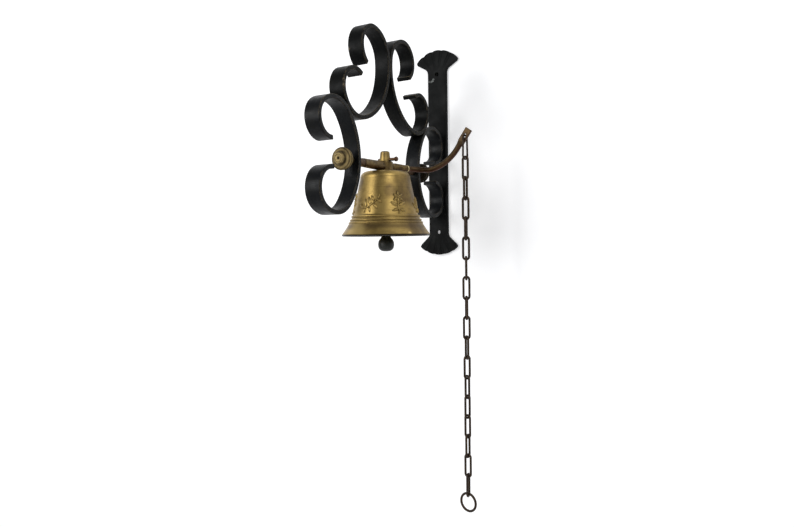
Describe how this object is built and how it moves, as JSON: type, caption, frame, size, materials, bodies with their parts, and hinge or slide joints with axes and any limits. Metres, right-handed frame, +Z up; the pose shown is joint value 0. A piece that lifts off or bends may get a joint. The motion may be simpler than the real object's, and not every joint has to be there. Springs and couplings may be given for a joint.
{
  "type": "doorbell",
  "caption": "Pull-chain doorbell: a brass bell swings on a yoke in a wall bracket of four iron C-scrolls, rung by a cranked arm with a long chain and ring.",
  "frame": {"origin": "on the wall plate's back face, midway between its two screw holes", "axes": "+Y into the wall along the screws, +Z up along the plate, +X along the wall to the side of the pull chain"},
  "size_m": [0.1587, 0.3101, 0.6333],
  "materials": {
    "black_iron": "black paint with worn brown edges",
    "bell_brass": "dull cast brass",
    "aged_brass": "aged satin brass",
    "bright_brass": "bright worn brass",
    "olive_brass": "dark brown patina",
    "copper_tube": "reddish patina",
    "dark_iron": "blackened iron",
    "brown_steel": "browned steel wire"
  },
  "bodies": {
    "bracket": {"wall_plate": "black_iron", "scroll_front": "black_iron", "scroll_rear": "black_iron", "scroll_top_front": "black_iron", "scroll_top_rear": "black_iron"},
    "bell_rig": {"yoke": "olive_brass", "arm_ferrule": "bright_brass", "lever_arm": "olive_brass", "front_spacer": "copper_tube", "rear_spacer": "copper_tube", "front_knob": "aged_brass", "rear_knob": "aged_brass", "bell": "bell_brass", "cross_pin": "aged_brass", "clapper_staple": "dark_iron"},
    "clapper": {"clapper": "dark_iron"},
    "chain_hanger": {"chain_hanger": "brown_steel"},
    "chain_link_01": {"chain_link_01": "brown_steel"},
    "chain_link_02": {"chain_link_02": "brown_steel"},
    "chain_link_03": {"chain_link_03": "brown_steel"},
    "chain_link_04": {"chain_link_04": "brown_steel"},
    "chain_link_05": {"chain_link_05": "brown_steel"},
    "chain_link_06": {"chain_link_06": "brown_steel"},
    "chain_link_07": {"chain_link_07": "brown_steel"},
    "chain_link_08": {"chain_link_08": "brown_steel"},
    "chain_link_09": {"chain_link_09": "brown_steel"},
    "chain_link_10": {"chain_link_10": "brown_steel"},
    "chain_link_11": {"chain_link_11": "brown_steel"},
    "chain_link_12": {"chain_link_12": "brown_steel"},
    "chain_link_13": {"chain_link_13": "brown_steel"},
    "chain_link_14": {"chain_link_14": "brown_steel"},
    "chain_link_15": {"chain_link_15": "brown_steel"},
    "chain_link_16": {"chain_link_16": "brown_steel"},
    "chain_link_17": {"chain_link_17": "brown_steel"},
    "pull_ring": {"pull_ring": "brown_steel"}
  },
  "joints": [
    {"name": "bell_swing", "type": "hinge", "parent": "bracket", "child": "bell_rig", "pos_m": [0, -0.15611, -0.0338], "axis": [0, 1, 0], "range_deg": [-20, 30]},
    {"name": "clapper_swing", "type": "hinge", "parent": "bell_rig", "child": "clapper", "pos_m": [0, -0.15611, -0.057], "axis": [0, 1, 0], "range_deg": [-28, 28]},
    {"name": "hanger_swing", "type": "hinge", "parent": "bell_rig", "child": "chain_hanger", "pos_m": [0.08931, -0.10587, 0.00459], "axis": [0, 1, 0], "range_deg": [-30, 6]},
    {"name": "link_01_swing", "type": "hinge", "parent": "chain_hanger", "child": "chain_link_01", "pos_m": [0.08931, -0.10587, -0.02561], "axis": [-0.2588, -0.9659, 0], "range_deg": [-25, 25]},
    {"name": "link_02_swing", "type": "hinge", "parent": "chain_link_01", "child": "chain_link_02", "pos_m": [0.08931, -0.10587, -0.05146], "axis": [0.9848, -0.1736, 0], "range_deg": [-25, 25]},
    {"name": "link_03_swing", "type": "hinge", "parent": "chain_link_02", "child": "chain_link_03", "pos_m": [0.08931, -0.10587, -0.07706], "axis": [0.061, 0.9981, 0], "range_deg": [-25, 25]},
    {"name": "link_04_swing", "type": "hinge", "parent": "chain_link_03", "child": "chain_link_04", "pos_m": [0.08931, -0.10587, -0.10266], "axis": [-0.9986, -0.0523, 0], "range_deg": [-25, 25]},
    {"name": "link_05_swing", "type": "hinge", "parent": "chain_link_04", "child": "chain_link_05", "pos_m": [0.08931, -0.10587, -0.12826], "axis": [0.165, -0.9863, 0], "range_deg": [-25, 25]},
    {"name": "link_06_swing", "type": "hinge", "parent": "chain_link_05", "child": "chain_link_06", "pos_m": [0.08931, -0.10587, -0.15386], "axis": [0.9613, 0.2756, 0], "range_deg": [-25, 25]},
    {"name": "link_07_swing", "type": "hinge", "parent": "chain_link_06", "child": "chain_link_07", "pos_m": [0.08931, -0.10587, -0.17946], "axis": [-0.3827, 0.9239, 0], "range_deg": [-25, 25]},
    {"name": "link_08_swing", "type": "hinge", "parent": "chain_link_07", "child": "chain_link_08", "pos_m": [0.08931, -0.10587, -0.20506], "axis": [-0.8746, -0.4848, 0], "range_deg": [-25, 25]},
    {"name": "link_09_swing", "type": "hinge", "parent": "chain_link_08", "child": "chain_link_09", "pos_m": [0.08931, -0.10587, -0.23066], "axis": [0.5807, -0.8141, 0], "range_deg": [-25, 25]},
    {"name": "link_10_swing", "type": "hinge", "parent": "chain_link_09", "child": "chain_link_10", "pos_m": [0.08931, -0.10587, -0.25626], "axis": [0.7431, 0.6691, 0], "range_deg": [-25, 25]},
    {"name": "link_11_swing", "type": "hinge", "parent": "chain_link_10", "child": "chain_link_11", "pos_m": [0.08931, -0.10587, -0.28186], "axis": [-0.749, 0.6626, 0], "range_deg": [-25, 25]},
    {"name": "link_12_swing", "type": "hinge", "parent": "chain_link_11", "child": "chain_link_12", "pos_m": [0.08931, -0.10587, -0.30746], "axis": [-0.5736, -0.8192, 0], "range_deg": [-25, 25]},
    {"name": "link_13_swing", "type": "hinge", "parent": "chain_link_12", "child": "chain_link_13", "pos_m": [0.08931, -0.10587, -0.33306], "axis": [0.8788, -0.4772, 0], "range_deg": [-25, 25]},
    {"name": "link_14_swing", "type": "hinge", "parent": "chain_link_13", "child": "chain_link_14", "pos_m": [0.08931, -0.10587, -0.35866], "axis": [0.3746, 0.9272, 0], "range_deg": [-25, 25]},
    {"name": "link_15_swing", "type": "hinge", "parent": "chain_link_14", "child": "chain_link_15", "pos_m": [0.08931, -0.10587, -0.38426], "axis": [-0.9636, 0.2672, 0], "range_deg": [-25, 25]},
    {"name": "link_16_swing", "type": "hinge", "parent": "chain_link_15", "child": "chain_link_16", "pos_m": [0.08931, -0.10587, -0.40986], "axis": [-0.1564, -0.9877, 0], "range_deg": [-25, 25]},
    {"name": "link_17_swing", "type": "hinge", "parent": "chain_link_16", "child": "chain_link_17", "pos_m": [0.08931, -0.10587, -0.43546], "axis": [0.999, -0.0436, 0], "range_deg": [-25, 25]},
    {"name": "ring_swing", "type": "hinge", "parent": "chain_link_17", "child": "pull_ring", "pos_m": [0.08931, -0.10587, -0.46106], "axis": [-0.0698, 0.9976, 0], "range_deg": [-25, 25]}
  ]
}
